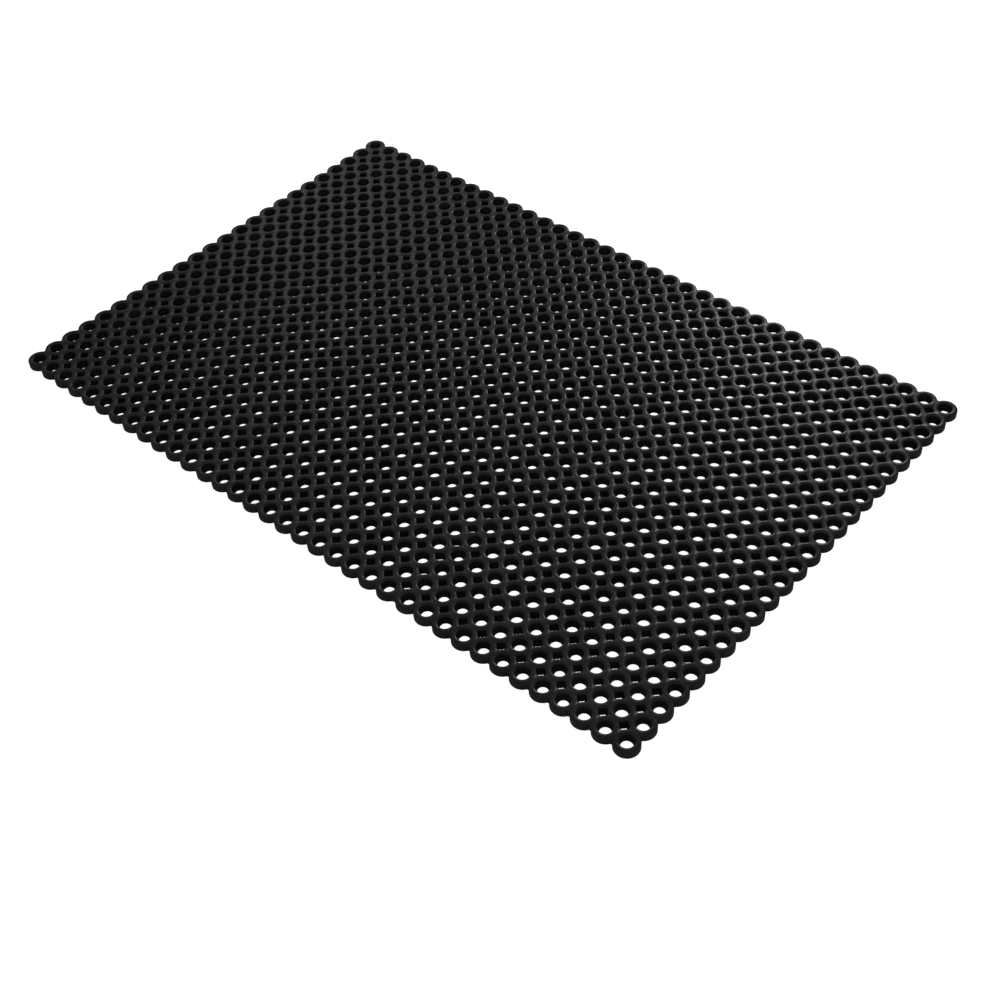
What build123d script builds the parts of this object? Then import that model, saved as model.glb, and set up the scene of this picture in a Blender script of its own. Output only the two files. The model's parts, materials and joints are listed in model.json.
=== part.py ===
from build123d import *
import math
import os

# Rubber ring mat, in millimetres.
#
# Rings stand on a square lattice and share webs with their four neighbours. Four
# rings leave a small four-sided drainage gap between them, and the outer edge
# follows the outsides of the last rings. The mat is moulded as three sections side
# by side along X, with a slightly wider web at each seam between sections. The holes
# are wider at the top, so that the sections lift out of the mould.
#
# One solid is one row of rings across the mat, parted from its neighbours by a thin
# slit on the middle planes of the webs. Neighbouring rows turn against each other
# about a line at the top of those planes, which is how the mat rolls up.
#
# +X runs along the long edge and +Z up. The origin is at the middle of the mat, on
# the floor.

# Driving dimensions
sections = 3
rows_per_section = 12
rings_per_row = 24
ring_pitch = 41.4
mat_thickness = 16.0
hole_top_diameter = 25.4
hole_floor_diameter = 21.2
gap_across = 13.5
gap_corner_radius = 3.15
seam_extra = 3.6
row_clearance = 0.4
rim_radius = 2.2

# Derived sizes
row_count = sections * rows_per_section
hole_top_radius = hole_top_diameter / 2
hole_floor_radius = hole_floor_diameter / 2
ring_radius = ring_pitch / math.sqrt(2) - gap_across / 2
half_pitch = ring_pitch / 2
seam_reach = half_pitch + seam_extra / 2
corner_offset = math.sqrt((ring_radius + gap_corner_radius) ** 2 - half_pitch**2)
web_half_width = corner_offset - gap_corner_radius
mat_width = (rings_per_row - 1) * ring_pitch + 2 * ring_radius
mat_length = (row_count - 1) * ring_pitch + (sections - 1) * seam_extra + 2 * ring_radius

section_names = ["left", "middle", "right"]


def web_corner_radius(reach):
    """Radius that joins a web of the common width to rings 2 * reach apart."""
    spread = web_half_width**2 + reach**2 - ring_radius**2
    return spread / (2 * (ring_radius - web_half_width))


def circle_point(centre, radius, angle):
    """Point of a circle at an angle in degrees."""
    turn = math.radians(angle)
    return (centre[0] + radius * math.cos(turn), centre[1] + radius * math.sin(turn))


def arc(centre, radius, start, end):
    """Arc of a circle from one angle to another, in degrees."""
    middle = (start + end) / 2
    return ThreePointArc(
        circle_point(centre, radius, start),
        circle_point(centre, radius, middle),
        circle_point(centre, radius, end),
    )


def web_side(y, reach):
    """The cut through the web beside one ring, with the corners that lead to it.

    Returns the edges and the angle at which they leave the ring.
    """
    radius = web_corner_radius(reach)
    offset = web_half_width + radius
    angle = math.degrees(math.atan2(offset, reach))
    short = math.degrees(math.asin(row_clearance / 2 / radius))
    below = arc((reach, y - offset), radius, 180 - angle, 90 + short)
    above = arc((reach, y + offset), radius, 270 - short, 180 + angle)
    return [below, Line(below @ 1, above @ 0), above], angle


def right_side(ring_ys, reach):
    """Edges of a row's right side, from below its first ring to above its last.

    reach is the distance from the ring centres to the plane where the next row
    starts, or None along the outer edge of the mat.
    """
    inner_angle = math.degrees(math.atan2(half_pitch, corner_offset))
    edges = []
    for index, y in enumerate(ring_ys):
        first = index == 0
        last = index == len(ring_ys) - 1
        start = -90 if first else -inner_angle
        end = 90 if last else inner_angle
        if reach is None:
            edges.append(arc((0, y), ring_radius, start, end))
        else:
            web, web_angle = web_side(y, reach)
            edges.append(arc((0, y), ring_radius, start, -web_angle))
            edges += web
            edges.append(arc((0, y), ring_radius, web_angle, end))
        if not last:
            corner = (corner_offset, y + half_pitch)
            edges.append(arc(corner, gap_corner_radius, 180 + inner_angle, 180 - inner_angle))
    return edges


def row_outline(ring_ys, left_reach, right_reach):
    """Closed outline of a row, with its ring centres on X = 0."""
    right = right_side(ring_ys, right_reach)
    left = [edge.mirror(Plane.YZ) for edge in right_side(ring_ys, left_reach)]
    return Wire(right + left)


def hole_core():
    """Solid of one hole, tapered to the floor and rounded out to the top face."""
    lean = math.atan((hole_top_radius - hole_floor_radius) / mat_thickness)
    tangent = rim_radius / math.tan((math.pi / 2 + lean) / 2)
    floor_edge = (hole_floor_radius, 0)
    wall_end = (hole_top_radius - tangent * math.sin(lean), mat_thickness - tangent * math.cos(lean))
    rim_centre = (hole_top_radius + tangent, mat_thickness - rim_radius)
    outline = [
        Line((0, 0), floor_edge),
        Line(floor_edge, wall_end),
        arc(rim_centre, rim_radius, 180 - math.degrees(lean), 90),
        Line((rim_centre[0], mat_thickness), (0, mat_thickness)),
        Line((0, mat_thickness), (0, 0)),
    ]
    profile = Plane.XZ * make_face(outline)
    return revolve(profile, Axis.Z).solid()


def ring_row(left_reach, right_reach):
    """One row of rings, with its ring centres on X = 0."""
    ring_ys = [(index - (rings_per_row - 1) / 2) * ring_pitch for index in range(rings_per_row)]
    outline = Face(row_outline(ring_ys, left_reach, right_reach))
    slab = Solid.extrude(outline, Vector(0, 0, mat_thickness))
    core = hole_core()
    return slab.cut(*[Pos(0, y, 0) * core for y in ring_ys]).solid()


def row_reaches(index):
    """Distances from a row's ring centres to its left and right cuts."""
    place = index % rows_per_section
    left = seam_reach if place == 0 else half_pitch
    right = seam_reach if place == rows_per_section - 1 else half_pitch
    if index == 0:
        left = None
    if index == row_count - 1:
        right = None
    return left, right


def row_x(index):
    """Place of a row's ring centres along the mat."""
    seams_before = index // rows_per_section
    return -mat_length / 2 + ring_radius + index * ring_pitch + seams_before * seam_extra


def row_name(index):
    """Name of a row, counted from the left within its section."""
    section = section_names[index // rows_per_section]
    return f"{section}_section_row_{index % rows_per_section + 1:02d}"


os.makedirs("parts", exist_ok=True)
shapes = {}
for row_index in range(row_count):
    reaches = row_reaches(row_index)
    if reaches not in shapes:
        shapes[reaches] = ring_row(*reaches)
    placed = Pos(row_x(row_index), 0, 0) * shapes[reaches]
    export_step(placed, f"parts/{row_name(row_index)}.step", write_pcurves=False)
print(f"mat {mat_length:.1f} x {mat_width:.1f} x {mat_thickness:.1f}, ring radius {ring_radius:.2f}")
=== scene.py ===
import json
import math

import bpy
import numpy as np
from mathutils import Matrix, Vector


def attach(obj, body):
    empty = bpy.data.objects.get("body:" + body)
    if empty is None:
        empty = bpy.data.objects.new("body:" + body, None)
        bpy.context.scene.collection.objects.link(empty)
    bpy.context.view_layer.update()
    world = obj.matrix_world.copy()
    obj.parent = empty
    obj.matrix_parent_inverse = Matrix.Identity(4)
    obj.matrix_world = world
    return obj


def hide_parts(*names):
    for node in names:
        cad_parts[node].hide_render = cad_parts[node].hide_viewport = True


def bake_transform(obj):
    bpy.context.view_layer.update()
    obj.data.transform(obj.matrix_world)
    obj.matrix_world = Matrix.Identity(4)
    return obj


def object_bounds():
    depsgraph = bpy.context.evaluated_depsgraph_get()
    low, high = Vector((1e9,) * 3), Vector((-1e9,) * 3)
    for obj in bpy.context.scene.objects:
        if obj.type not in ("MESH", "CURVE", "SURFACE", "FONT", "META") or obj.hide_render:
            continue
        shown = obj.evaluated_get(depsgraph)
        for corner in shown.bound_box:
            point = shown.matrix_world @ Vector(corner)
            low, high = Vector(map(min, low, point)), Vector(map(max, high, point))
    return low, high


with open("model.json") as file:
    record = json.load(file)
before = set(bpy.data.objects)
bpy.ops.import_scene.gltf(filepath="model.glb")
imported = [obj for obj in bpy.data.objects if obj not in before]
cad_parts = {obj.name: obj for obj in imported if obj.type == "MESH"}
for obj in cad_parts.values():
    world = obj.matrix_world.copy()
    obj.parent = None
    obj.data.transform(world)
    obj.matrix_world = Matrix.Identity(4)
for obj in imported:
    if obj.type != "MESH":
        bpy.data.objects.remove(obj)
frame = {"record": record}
cad_low, cad_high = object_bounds()

# Sizes of the mat, in metres, as in the CAD source
RINGS_PER_ROW = 24
ROWS_PER_SECTION = 12
ROW_COUNT = 36
PITCH = 0.0414
HALF = PITCH / 2
SEAM_EXTRA = 0.0036
SEAM_REACH = HALF + SEAM_EXTRA / 2
HOLE_TOP_RADIUS = 0.0127
HOLE_FLOOR_RADIUS = 0.0106
GAP_ACROSS = 0.0135
CORNER_RADIUS = 0.00315
RING_RADIUS = PITCH / math.sqrt(2) - GAP_ACROSS / 2
CORNER_OFFSET = math.sqrt((RING_RADIUS + CORNER_RADIUS) ** 2 - HALF**2)
WEB_HALF_WIDTH = CORNER_OFFSET - CORNER_RADIUS
TOP = cad_high.z
FLOOR = cad_low.z

# Moulded shape of the visible surfaces: rounded rims and edges, the crown of the top
# faces and the lean of the gap walls; and a dark lip that narrows the holes at the floor, which is
# painted shade standing in for the shadow on the floor in the holes
RIM_ROUND = 0.0024
EDGE_ROUND = 0.0028
FOOT_ROUND = 0.0008
CROWN = 0.0008
CROWN_TILT = math.radians(27)
GAP_DRAFT = 0.0028
# Step, least and most width and rise of the dark lip in the holes, which is painted shade for the
# shadow on the floor
SHADE_LIP_STEP = 0.0004
SHADE_LIP_LEAST = 0.0004
SHADE_LIP_MOST = 0.0046
SHADE_LIP_RISE = 1.2

# The grid per metre on which points are welded
WELD_GRID = 1e7

FLOOR_REACH = 12.0
FLOOR_CLEARANCE = 0.0003
SHARES_TO_WEB_MIDDLE = (0.0, 0.5)

rng = np.random.default_rng(7)


# ---------------------------------------------------------------- ring cells
def stations(reach, side_web):
    """Outline of a quarter cell around a ring centre, counted from +X round to +Y.

    Each station is a ray (centre, radius, slope, direction, outward): at an inward
    offset d the outline passes through centre + (radius + slope * d) * direction.
    reach is the distance to the neighbour's plane, or None on the outer edge.
    """
    rays = []

    def add(centre, radius, slope, angle, sign):
        direction = np.array([math.cos(angle), math.sin(angle)])
        rays.append((np.array(centre), radius, slope, direction, sign * direction))

    start = 0.0
    end = math.atan2(HALF, CORNER_OFFSET) if side_web else math.pi / 2
    if reach is not None:
        spread = WEB_HALF_WIDTH**2 + reach**2 - RING_RADIUS**2
        fillet = spread / (2 * (RING_RADIUS - WEB_HALF_WIDTH))
        centre = (reach, WEB_HALF_WIDTH + fillet)
        start = math.atan2(centre[1], centre[0])
        for share in SHARES_TO_WEB_MIDDLE:
            add((reach, 0.0), share * WEB_HALF_WIDTH, -share, math.pi / 2, 1)
        for angle in np.linspace(1.5 * math.pi, math.pi + start, 4):
            add(centre, fillet, 1, angle, -1)
    steps = 2 if reach is not None else 7
    steps += 0 if side_web else 5
    for angle in np.linspace(start, end, steps + 1)[int(reach is not None):]:
        add((0.0, 0.0), RING_RADIUS, -1, angle, 1)
    if side_web:
        rays.pop()
        for angle in np.linspace(math.pi + end, math.pi, 4):
            add((CORNER_OFFSET, HALF), CORNER_RADIUS, 1, angle, -1)
        for share in reversed(SHARES_TO_WEB_MIDDLE):
            add((0.0, HALF), share * WEB_HALF_WIDTH, -share, 0.0, 1)
    first = 2 if reach is not None else 0
    last = 10 if side_web else 12
    return rays, first, last


def quarter_cell(reach, side_web, shade_lip=0.0):
    """Points, normals and quads of a quarter ring cell, and the column on its X = 0 plane.

    The last argument narrows the hole at the floor by that much, with a dark lip that is painted
    shade: it stands in for the shadow on the floor in the hole.
    """
    rays, first, last = stations(reach, side_web)
    count = len(rays)
    outward = np.array([ray[4] for ray in rays])
    draft = GAP_DRAFT if reach is not None and side_web else 0.0

    def outline(offset):
        return np.array([c + (r + s * offset) * u for c, r, s, u, _ in rays])

    shoulder = outline(EDGE_ROUND * (1 - math.sin(CROWN_TILT)))
    even = np.linspace(0, math.pi / 2, count)
    angles = 0.5 * even + 0.5 * np.arctan2(shoulder[:, 1], shoulder[:, 0])
    radial = np.stack([np.cos(angles), np.sin(angles)], 1)
    points, normals = [], []

    def row(xy, z, flat, up):
        points.append(np.column_stack([xy, np.broadcast_to(z, count)]))
        normal = np.column_stack([flat, np.broadcast_to(up, count)])
        normals.append(normal / np.linalg.norm(normal, axis=1)[:, None])

    # Underside, then up the tapered hole and round its rim
    lean = math.atan((HOLE_TOP_RADIUS - HOLE_FLOOR_RADIUS) / (TOP - FLOOR))
    rim_height = TOP - CROWN - RIM_ROUND * math.cos(CROWN_TILT)
    wall_top = rim_height + RIM_ROUND * math.sin(lean)
    wall_radius = HOLE_FLOOR_RADIUS + (wall_top - FLOOR) * math.tan(lean)
    rim_centre = wall_radius + RIM_ROUND * math.cos(lean)
    foot_radius = HOLE_FLOOR_RADIUS + FOOT_ROUND * math.tan(lean) - shade_lip
    row(outline(FOOT_ROUND - draft), FLOOR, 0 * radial, -1)
    row((foot_radius + FOOT_ROUND) * radial, FLOOR, 0 * radial, -1)
    turn = math.radians(45)
    row(
        (foot_radius + FOOT_ROUND * (1 - math.cos(turn))) * radial,
        FLOOR + FOOT_ROUND * (1 - math.sin(turn)),
        -math.cos(turn) * radial,
        -math.sin(turn),
    )
    row(foot_radius * radial, FLOOR + FOOT_ROUND, -radial, math.tan(lean))
    # The dark lip at the floor is painted shade: it stands in for the shadow on the floor in the hole
    if shade_lip > 0:
        rise = FOOT_ROUND + SHADE_LIP_RISE * shade_lip
        row((HOLE_FLOOR_RADIUS + rise * math.tan(lean)) * radial, FLOOR + rise, -radial, 0.5)
    for turn in np.linspace(lean, math.pi / 2 - CROWN_TILT, 6):
        row(
            (rim_centre - RIM_ROUND * math.cos(turn)) * radial,
            rim_height + RIM_ROUND * math.sin(turn),
            -math.cos(turn) * radial,
            math.sin(turn),
        )

    # Over the crowned land to the shoulder; the webs are crowned between the gaps
    inner = (rim_centre - RIM_ROUND * math.sin(CROWN_TILT)) * radial
    edge = np.ones(count)
    edge[:first] = np.square(SHARES_TO_WEB_MIDDLE)[:first]
    if side_web:
        edge[last + 1:] = np.square(SHARES_TO_WEB_MIDDLE)[::-1]
    for share in (0.25, 0.5, 0.75, 1.0):
        across = 2 * share - 1
        side = edge if across > 0 else np.ones(count)
        tilt = CROWN_TILT * across * np.sqrt(side)
        facing = share * outward + (1 - share) * radial
        row(
            inner + share * (shoulder - inner),
            TOP - CROWN * across**2 * side,
            np.sin(tilt)[:, None] * facing,
            np.cos(tilt),
        )
    common = len(points)

    # Down the outside of the outline, where there is one
    edge_height = TOP - CROWN - EDGE_ROUND * math.cos(CROWN_TILT)
    for turn in np.linspace(math.pi / 2 - CROWN_TILT, 0, 5)[1:]:
        row(
            outline(EDGE_ROUND * (1 - math.cos(turn))),
            edge_height + EDGE_ROUND * math.sin(turn),
            math.cos(turn) * outward,
            math.sin(turn),
        )
    row(outline(-draft), FLOOR + FOOT_ROUND, outward, draft / (edge_height - FLOOR))
    turn = math.radians(45)
    row(
        outline(FOOT_ROUND * (1 - math.cos(turn)) - draft),
        FLOOR + FOOT_ROUND * (1 - math.sin(turn)),
        math.cos(turn) * outward,
        -math.sin(turn),
    )
    rows = len(points)

    quads = []

    def band(lower, upper, start, end):
        for s in range(start, end):
            a, b = lower * count + s, upper * count + s
            quads.append((a, a + 1, b + 1, b))

    for r in range(common - 1):
        band(r, r + 1, 0, count - 1)
    loop = list(range(common - 1, rows)) + [0]
    for lower, upper in zip(loop, loop[1:]):
        band(lower, upper, first, last)
    column = [r * count + count - 1 for r in range(rows if not side_web else common)]
    return np.concatenate(points), np.concatenate(normals), np.array(quads), column


def half_row(x, side, reach, shade_lip):
    """Half of a row of rings, on the side (+1 or -1) of its centre line, with its cut closed."""
    points, normals, faces, caps = [], [], [], []
    offset = 0
    spare = None
    for index in range(RINGS_PER_ROW):
        y = (index - (RINGS_PER_ROW - 1) / 2) * PITCH
        for half in (-1, 1):
            outer = index == 0 and half < 0 or index == RINGS_PER_ROW - 1 and half > 0
            p, n, q, column = cell(reach, not outer, shade_lip[index])
            mirror = np.array([side, half, 1.0])
            points.append(p * mirror + np.array([x, y, 0.0]))
            normals.append(n * mirror)
            faces.append((q[:, ::-1] if side * half > 0 else q) + offset)
            column = [c + offset for c in column]
            if outer:
                caps.append(column)
            elif half > 0:
                spare = column
            else:
                caps.append(spare + column[::-1])
            offset += len(p)
    return np.concatenate(points), np.concatenate(normals), np.concatenate(faces), caps


cells = {}


def cell(reach, side_web, shade_lip):
    key = (reach, side_web, shade_lip)
    if key not in cells:
        cells[key] = quarter_cell(*key)
    return cells[key]


def row_x(index):
    return cad_low.x + RING_RADIUS + index * PITCH + (index // ROWS_PER_SECTION) * SEAM_EXTRA


# A dark lip narrows the holes at the floor as painted shade, standing in for the shadow on
# the floor in the holes: more towards the far left corner and in the first row of the second and third
# sections
along = np.arange(ROW_COUNT)[:, None] / (ROW_COUNT - 1)
across = np.arange(RINGS_PER_ROW)[None, :] / (RINGS_PER_ROW - 1)
shade_lips = 0.0009 + 0.0031 * across * (1 - 0.5 * along) + 0.0028 * (1 - along) ** 2
shade_lips[ROWS_PER_SECTION] += 0.0018
shade_lips[2 * ROWS_PER_SECTION] += 0.0015
shade_lips += rng.normal(0, 0.0004, shade_lips.shape)
shade_lips = np.round(np.clip(shade_lips, SHADE_LIP_LEAST, SHADE_LIP_MOST) / SHADE_LIP_STEP) * SHADE_LIP_STEP


def make_piece(name, halves):
    """A closed mesh of one or two half rows, welded on the plane between them."""
    points, normals, faces, caps = [], [], [], []
    offset = 0
    for x, side, reach, shade_lip in halves:
        p, n, q, c = half_row(x, side, reach, shade_lip)
        points.append(p)
        normals.append(n)
        faces.append(q + offset)
        caps += [(np.array(column) + offset, side) for column in c]
        offset += len(p)
    points, normals = np.concatenate(points), np.concatenate(normals)
    faces = np.concatenate(faces)
    keys = np.round(points * WELD_GRID).astype(np.int64)
    _, first, inverse = np.unique(keys, axis=0, return_index=True, return_inverse=True)
    inverse = inverse.reshape(-1)
    vertices, normals = points[first], normals[first]
    faces = inverse[faces]
    polygons = faces.tolist()
    plane_normals = []
    for ids, side in caps:
        ring = []
        for v in inverse[ids].tolist():
            if not ring or ring[-1] != v:
                ring.append(v)
        if ring[0] == ring[-1]:
            ring.pop()
        outline = vertices[ring][:, 1:]
        following = np.roll(outline, -1, axis=0)
        area = (outline[:, 0] * following[:, 1] - following[:, 0] * outline[:, 1]).sum()
        facing = -side
        if area * facing < 0:
            ring.reverse()
        polygons.append(ring)
        plane_normals.append((facing, 0.0, 0.0))
    mesh = bpy.data.meshes.new(name)
    mesh.from_pydata(vertices.tolist(), [], polygons)
    mesh.polygons.foreach_set("use_smooth", np.ones(len(polygons), bool))
    loops = np.zeros(len(mesh.loops), np.int32)
    mesh.loops.foreach_get("vertex_index", loops)
    split = normals[loops]
    at = 4 * len(faces)
    for ring, normal in zip(polygons[len(faces):], plane_normals):
        split[at:at + len(ring)] = normal
        at += len(ring)
    mesh.normals_split_custom_set(split.tolist())
    piece = bpy.data.objects.new(name, mesh)
    bpy.context.scene.collection.objects.link(piece)
    return piece


# ---------------------------------------------------------------- material
def rubber_material():
    """Black moulded rubber: matt skin with a fine grain, faint bloom and small scuffs."""
    material = bpy.data.materials.new("black_rubber")
    material.use_nodes = True
    nodes, links = material.node_tree.nodes, material.node_tree.links
    shader = nodes["Principled BSDF"]
    shader.inputs["IOR"].default_value = 1.5
    where = nodes.new("ShaderNodeTexCoord")

    def noise(scale, detail, roughness=0.5):
        node = nodes.new("ShaderNodeTexNoise")
        node.inputs["Scale"].default_value = scale
        node.inputs["Detail"].default_value = detail
        node.inputs["Roughness"].default_value = roughness
        links.new(where.outputs["Object"], node.inputs["Vector"])
        return node.outputs["Fac"]

    def remap(value, low, high, to_low, to_high):
        node = nodes.new("ShaderNodeMapRange")
        node.inputs["From Min"].default_value = low
        node.inputs["From Max"].default_value = high
        node.inputs["To Min"].default_value = to_low
        node.inputs["To Max"].default_value = to_high
        links.new(value, node.inputs["Value"])
        return node.outputs["Result"]

    bloom = noise(9, 4)
    grain = noise(900, 3, 0.6)
    scuffs = noise(160, 5, 0.65)
    colour = nodes.new("ShaderNodeMix")
    colour.data_type = "RGBA"
    colour.inputs["A"].default_value = (0.012, 0.012, 0.0125, 1)
    colour.inputs["B"].default_value = (0.028, 0.028, 0.029, 1)
    links.new(remap(bloom, 0.35, 0.7, 0, 1), colour.inputs["Factor"])
    marked = nodes.new("ShaderNodeMix")
    marked.data_type = "RGBA"
    marked.inputs["B"].default_value = (0.055, 0.054, 0.053, 1)
    links.new(colour.outputs["Result"], marked.inputs["A"])
    links.new(remap(scuffs, 0.6, 0.78, 0, 0.5), marked.inputs["Factor"])
    links.new(marked.outputs["Result"], shader.inputs["Base Color"])
    rough = nodes.new("ShaderNodeMath")
    rough.operation = "ADD"
    links.new(remap(scuffs, 0.3, 0.7, 0.31, 0.43), rough.inputs[0])
    links.new(remap(bloom, 0.3, 0.7, -0.03, 0.04), rough.inputs[1])
    links.new(rough.outputs["Value"], shader.inputs["Roughness"])
    height = nodes.new("ShaderNodeMath")
    height.operation = "MULTIPLY_ADD"
    links.new(scuffs, height.inputs[0])
    height.inputs[1].default_value = 1.5
    links.new(grain, height.inputs[2])
    bump = nodes.new("ShaderNodeBump")
    bump.inputs["Strength"].default_value = 0.35
    bump.inputs["Distance"].default_value = 0.0002
    links.new(height.outputs["Value"], bump.inputs["Height"])
    links.new(bump.outputs["Normal"], shader.inputs["Normal"])
    return material


def floor_material():
    """White studio paper that is lit a little from within, so that it stays white in the holes."""
    material = bpy.data.materials.new("studio_floor")
    material.use_nodes = True
    nodes, links = material.node_tree.nodes, material.node_tree.links
    shader = nodes["Principled BSDF"]
    shader.inputs["Base Color"].default_value = (0.8, 0.8, 0.8, 1)
    shader.inputs["Roughness"].default_value = 0.9
    shader.inputs["Specular IOR Level"].default_value = 0.1
    shader.inputs["Emission Color"].default_value = (1, 1, 1, 1)
    path = nodes.new("ShaderNodeLightPath")
    glow = nodes.new("ShaderNodeMath")
    glow.operation = "MULTIPLY"
    glow.inputs[1].default_value = 1.0
    links.new(path.outputs["Is Camera Ray"], glow.inputs[0])
    links.new(glow.outputs["Value"], shader.inputs["Emission Strength"])
    return material


# ---------------------------------------------------------------- the mat
rubber = rubber_material()
rows = [f"row_{index + 1:02d}" for index in range(ROW_COUNT)]
row_nodes = frame["record"]["behaviour"]["bodies"]


def dress(piece):
    piece.data.materials.append(rubber)
    return piece


left = dress(make_piece("left_edge", [(row_x(0), -1, None, shade_lips[0])]))
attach(left, rows[0])
right = dress(make_piece("right_edge", [(row_x(ROW_COUNT - 1), 1, None, shade_lips[-1])]))
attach(right, rows[-1])
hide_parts(*row_nodes[rows[0]])
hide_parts(*row_nodes[rows[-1]])

for index in range(ROW_COUNT - 1):
    at_seam = index % ROWS_PER_SECTION == ROWS_PER_SECTION - 1
    reach = SEAM_REACH if at_seam else HALF
    halves = [(row_x(index), 1, reach, shade_lips[index]), (row_x(index + 1), -1, reach, shade_lips[index + 1])]
    piece = dress(make_piece(f"rings_{index + 1:02d}_{index + 2:02d}", halves))
    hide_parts(*row_nodes[rows[index]], *row_nodes[rows[index + 1]])
    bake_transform(piece)


# ---------------------------------------------------------------- studio
def area_light(name, place, target, width, height, power):
    data = bpy.data.lights.new(name, "AREA")
    data.shape = "RECTANGLE"
    data.size, data.size_y = width, height
    data.energy = power
    lamp = bpy.data.objects.new(name, data)
    lamp.location = place
    direction = Vector(target) - Vector(place)
    lamp.rotation_mode = "QUATERNION"
    lamp.rotation_quaternion = direction.to_track_quat("-Z", "Y")
    bpy.context.scene.collection.objects.link(lamp)


floor_mesh = bpy.data.meshes.new("floor")
ground = FLOOR - FLOOR_CLEARANCE
corners = [(x * FLOOR_REACH, y * FLOOR_REACH, ground) for x, y in ((-1, -1), (1, -1), (1, 1), (-1, 1))]
floor_mesh.from_pydata(corners, [], [(0, 1, 2, 3)])
floor = bpy.data.objects.new("floor", floor_mesh)
floor.data.materials.append(floor_material())
bpy.context.scene.collection.objects.link(floor)

world = bpy.data.worlds.new("studio")
bpy.context.scene.world = world
world.use_nodes = True
background = world.node_tree.nodes["Background"]
background.inputs["Color"].default_value = (1, 1, 1, 1)
world_path = world.node_tree.nodes.new("ShaderNodeLightPath")
world_glow = world.node_tree.nodes.new("ShaderNodeMapRange")
world_glow.inputs["To Min"].default_value = 0.19
world_glow.inputs["To Max"].default_value = 1.0
world.node_tree.links.new(world_path.outputs["Is Camera Ray"], world_glow.inputs["Value"])
world.node_tree.links.new(world_glow.outputs["Result"], background.inputs["Strength"])
bpy.context.scene.view_settings.view_transform = "Standard"

area_light("left_box", (-1.85, 1.17, 1.16), (-0.2, 0.3, 0), 0.6, 0.6, 1.4)
area_light("right_box", (-0.5, 2.25, 1.16), (-0.1, 0.3, 0), 0.6, 0.6, 10)
area_light("panel", (-1.29, 1.475, 1.2), (-0.2, 0.3, 0), 0.9, 0.6, 0.35)

camera_data = bpy.data.cameras.new("camera")
camera_data.lens = 55.17
camera_data.sensor_width = 36
camera_data.clip_end = 100
camera = bpy.data.objects.new("camera", camera_data)
camera.location = (1.5432, -1.5799, 1.9282)
forward = Vector((0.23685, -0.20254, 0.007)) - camera.location
turn = forward.to_track_quat("-Z", "Y").to_matrix().to_4x4()
roll = Matrix.Rotation(math.radians(-3.666), 4, "Z")
camera.matrix_world = Matrix.Translation(camera.location) @ turn @ roll
bpy.context.scene.collection.objects.link(camera)
bpy.context.scene.camera = camera
